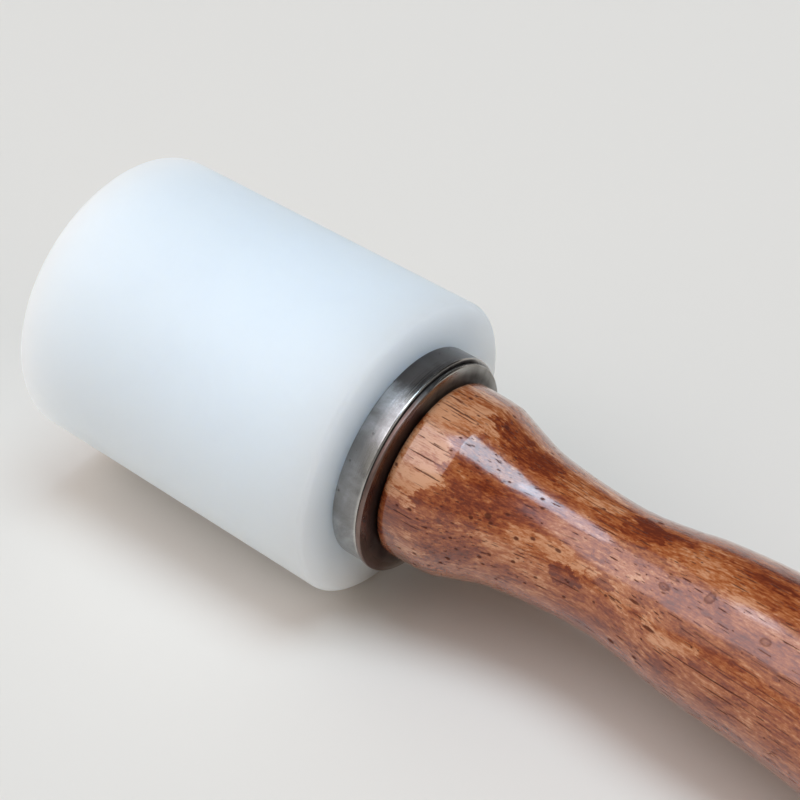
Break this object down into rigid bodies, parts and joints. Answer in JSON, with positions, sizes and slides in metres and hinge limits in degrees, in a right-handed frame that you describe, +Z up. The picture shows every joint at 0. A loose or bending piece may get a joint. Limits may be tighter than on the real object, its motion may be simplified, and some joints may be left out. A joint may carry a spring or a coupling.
{
  "type": "leather carving mallet",
  "caption": "Small mallet with a round nylon head, a steel collar and a turned wooden handle, for driving leather carving stamps.",
  "frame": {"origin": "on the bench under the middle of the mallet's box, as it lies on its side", "axes": "+X from the head towards the handle's butt, +Z up from the bench, +Y across"},
  "size_m": [0.191, 0.0428, 0.0459],
  "materials": {
    "nylon": "natural white nylon, turned, slightly translucent, satin",
    "collar_steel": "machined steel with a grey mottled patina",
    "washer_steel": "smooth stamped steel with a rolled edge",
    "rosewood": "turned red-brown hardwood with dark pores under gloss lacquer",
    "zinc_steel": "bright zinc plate"
  },
  "bodies": {
    "root": {"head": "nylon", "collar": "collar_steel", "front_washer": "washer_steel", "handle": "rosewood", "stud": "zinc_steel", "nut_washer": "zinc_steel", "nut": "zinc_steel"}
  },
  "joints": []
}
